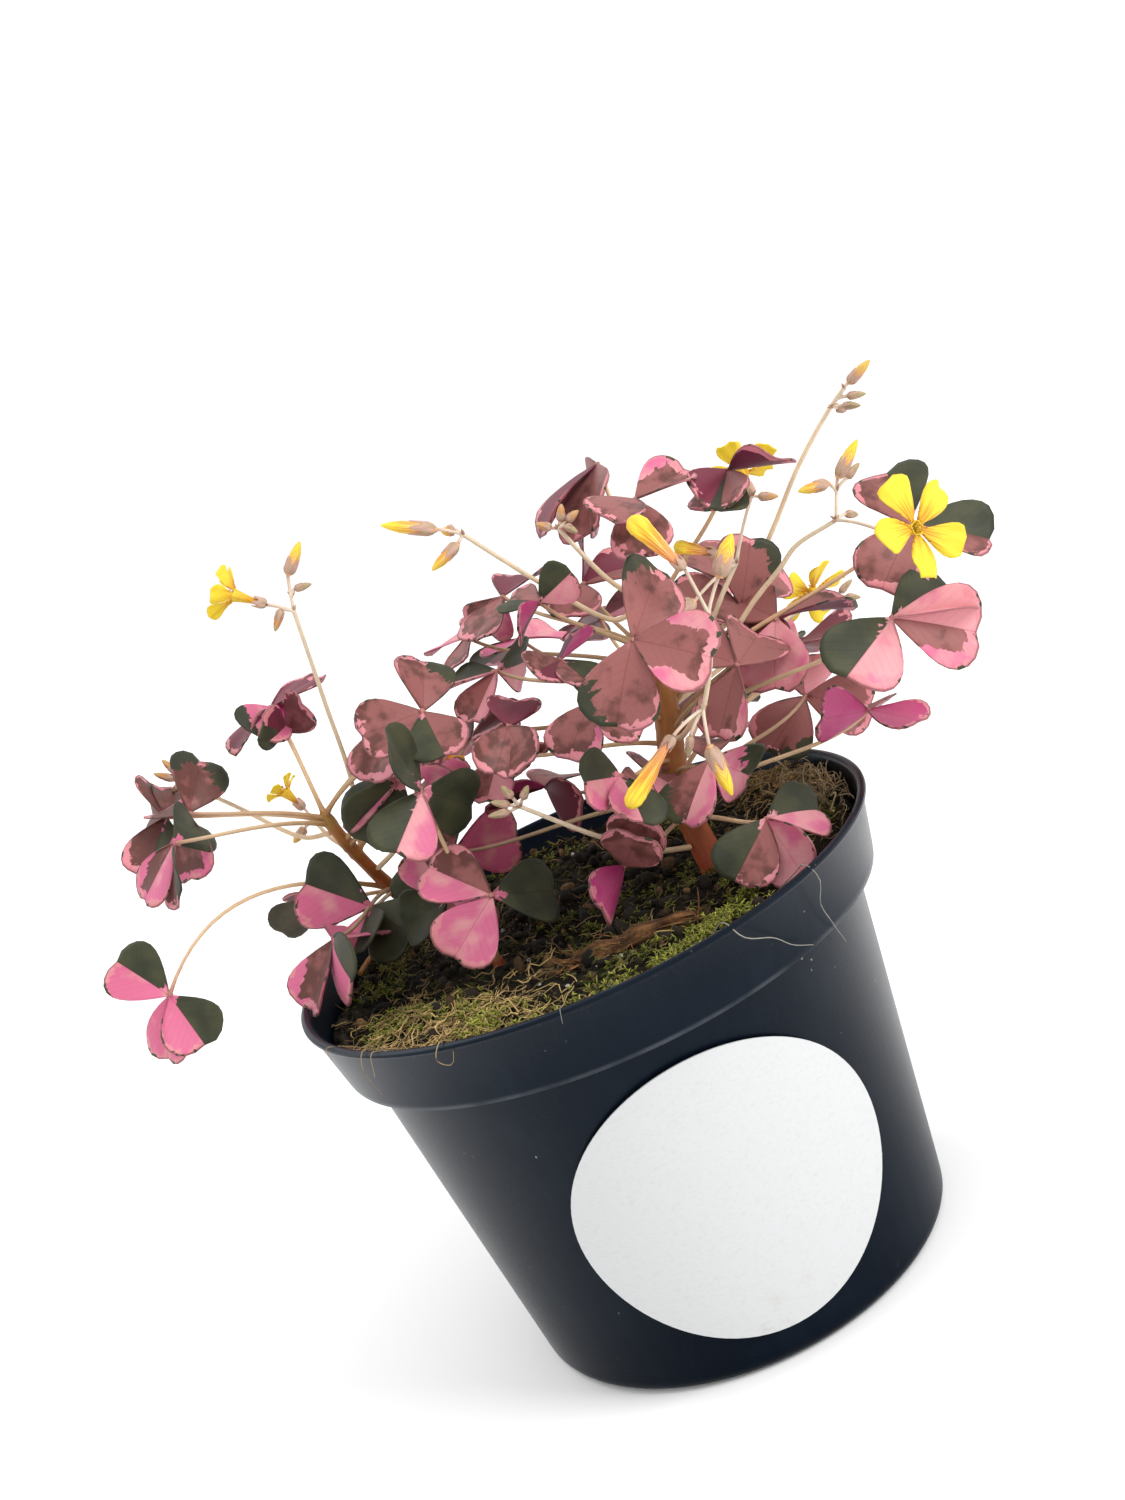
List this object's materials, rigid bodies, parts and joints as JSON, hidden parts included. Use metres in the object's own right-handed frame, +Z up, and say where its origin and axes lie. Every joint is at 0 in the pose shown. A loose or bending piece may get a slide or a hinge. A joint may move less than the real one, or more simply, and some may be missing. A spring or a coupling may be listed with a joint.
{
  "type": "purple shamrock in a nursery pot",
  "caption": "Potted purple shamrock: three-lobed variegated leaves on leafy stems, small yellow flowers on thin stalks, peat, and a round plastic pot with a plain label.",
  "frame": {"origin": "centre of the underside of the pot, on the surface it stands on", "axes": "+Z up, -Y out of the front of the pot where the label is, +X to the right seen from the front"},
  "size_m": [0.1928, 0.1211, 0.1716],
  "materials": {
    "pot": "satin",
    "label": "satin",
    "soil": "matte",
    "bark": "matte",
    "leaf": "matte",
    "stalk": "satin",
    "petal": "matte",
    "wilted_petal": "matte"
  },
  "bodies": {
    "root": {"pot": "pot", "label": "label", "soil": "soil", "dead_stem": "bark", "leafy_stem_main": "leaf", "leafy_stem_left": "leaf", "leafy_stem_front": "leaf", "spray_top_right": "stalk", "spray_right": "stalk", "spray_centre": "stalk", "spray_front": "stalk", "spray_left_tall": "stalk", "spray_top_left": "stalk", "spray_young": "stalk", "spray_far_left": "stalk", "spray_low": "stalk", "spray_back_right": "stalk", "spray_left_low": "stalk", "spray_wilted": "stalk", "bloom_right": "petal", "bloom_top": "petal", "bloom_back": "petal", "bloom_left": "petal", "bloom_left_low": "petal", "bloom_furled_centre": "petal", "bloom_furled_front": "petal", "bloom_furled_top": "petal", "bloom_wilted": "wilted_petal"}
  },
  "joints": []
}
